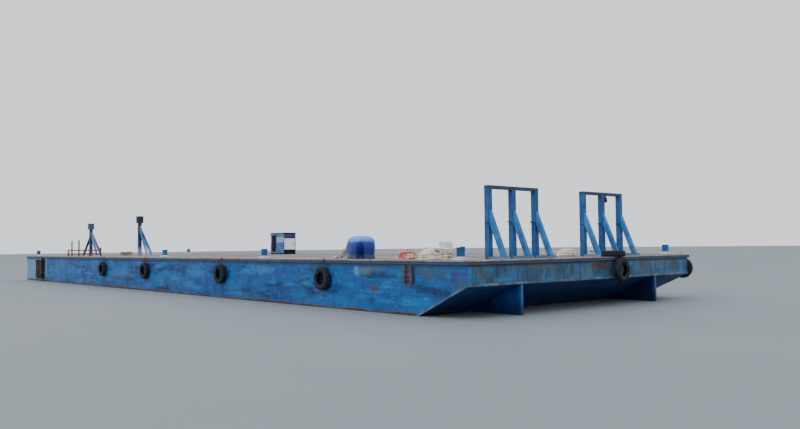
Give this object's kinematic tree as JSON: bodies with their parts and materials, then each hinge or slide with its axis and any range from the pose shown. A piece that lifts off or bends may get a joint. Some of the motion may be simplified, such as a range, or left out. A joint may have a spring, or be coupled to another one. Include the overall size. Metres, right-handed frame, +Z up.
{
  "type": "half-size river barge",
  "caption": "Flat-deck river cargo barge with raked stern, skegs, braced stern frames, bollards, tyre fenders and a small deck hut, modelled at half size.",
  "frame": {"origin": "middle of the flat bottom, on the centreline, halfway between the transom and the bow plate", "axes": "+X towards the bow, +Y to port, +Z up"},
  "size_m": [27.661, 7.942, 3.1],
  "materials": {
    "hull_paint": "weathered gloss marine paint",
    "frame_paint": "weathered satin paint",
    "deck_steel": "worn and rusty deck coating",
    "edge_steel": "scuffed pale steel",
    "bollard_paint": "worn paint",
    "tyre_rubber": "worn matt rubber",
    "fender_rubber": "worn matt rubber",
    "rusty_steel": "rust over red paint",
    "hut_white": "faded paint",
    "hut_blue": "faded paint",
    "hut_dark": "faded paint",
    "cover_cloth": "coated tarpaulin",
    "machine_steel": "oily paint",
    "lamp_dark": "satin",
    "rope_cream": "weathered laid rope",
    "rope_red": "faded laid rope"
  },
  "bodies": {
    "barge": {"bollard_strip_port": "bollard_paint", "bollard_strip_starboard": "bollard_paint", "bow_fender_port": "fender_rubber", "bow_fender_starboard": "fender_rubber", "bow_post_aft": "frame_paint", "bow_post_fore": "frame_paint", "cargo_rail": "rusty_steel", "deck_machine": "machine_steel", "deck_plate": "deck_steel", "deck_rail": "hull_paint", "hatch_coaming_aft": "deck_steel", "hatch_coaming_fore": "deck_steel", "hull": "hull_paint", "hut_aft_wall": "hut_white", "hut_base": "hut_dark", "hut_fore_wall": "hut_blue", "hut_port_wall": "hut_blue", "hut_roof": "hut_dark", "hut_starboard_wall": "hut_blue", "machine_cover": "cover_cloth", "rake_edge_bar_port": "edge_steel", "rake_edge_bar_starboard": "edge_steel", "rope_coil_port_1": "rope_cream", "rope_coil_port_2": "rope_cream", "rope_coil_port_3": "rope_red", "rope_coil_stern_1": "rope_cream", "rope_coil_stern_2": "rope_cream", "side_ladder": "rusty_steel", "skeg_port": "hull_paint", "skeg_starboard": "hull_paint", "stern_brace_port_1": "frame_paint", "stern_brace_port_2": "frame_paint", "stern_brace_port_3": "frame_paint", "stern_brace_starboard_1": "frame_paint", "stern_brace_starboard_2": "frame_paint", "stern_brace_starboard_3": "frame_paint", "stern_frame_port": "frame_paint", "stern_frame_starboard": "frame_paint", "stern_lamp": "lamp_dark", "transom_lower_bar": "edge_steel", "tyre_port_1": "tyre_rubber", "tyre_port_2": "tyre_rubber", "tyre_port_3": "tyre_rubber", "tyre_port_4": "tyre_rubber", "tyre_starboard_1": "tyre_rubber", "tyre_starboard_2": "tyre_rubber", "tyre_starboard_3": "tyre_rubber", "tyre_starboard_4": "tyre_rubber", "tyre_stern": "tyre_rubber", "tyre_stern_edge": "tyre_rubber"},
    "hut_door": {"hut_door": "hut_dark"},
    "hatch_lid_aft": {"hatch_lid_aft": "deck_steel"},
    "hatch_lid_fore": {"hatch_lid_fore": "deck_steel"}
  },
  "joints": [
    {"name": "hut_door_hinge", "type": "hinge", "parent": "barge", "child": "hut_door", "pos_m": [3.6915, -2.8125, 2], "axis": [0, 0, -1], "range_deg": [0, 105]},
    {"name": "hatch_lid_aft_hinge", "type": "hinge", "parent": "barge", "child": "hatch_lid_aft", "pos_m": [-7.5125, -1.3, 1.6573], "axis": [0, 1, 0], "range_deg": [0, 100]},
    {"name": "hatch_lid_fore_hinge", "type": "hinge", "parent": "barge", "child": "hatch_lid_fore", "pos_m": [8.7375, 1.3, 1.6573], "axis": [0, 1, 0], "range_deg": [0, 100]}
  ]
}
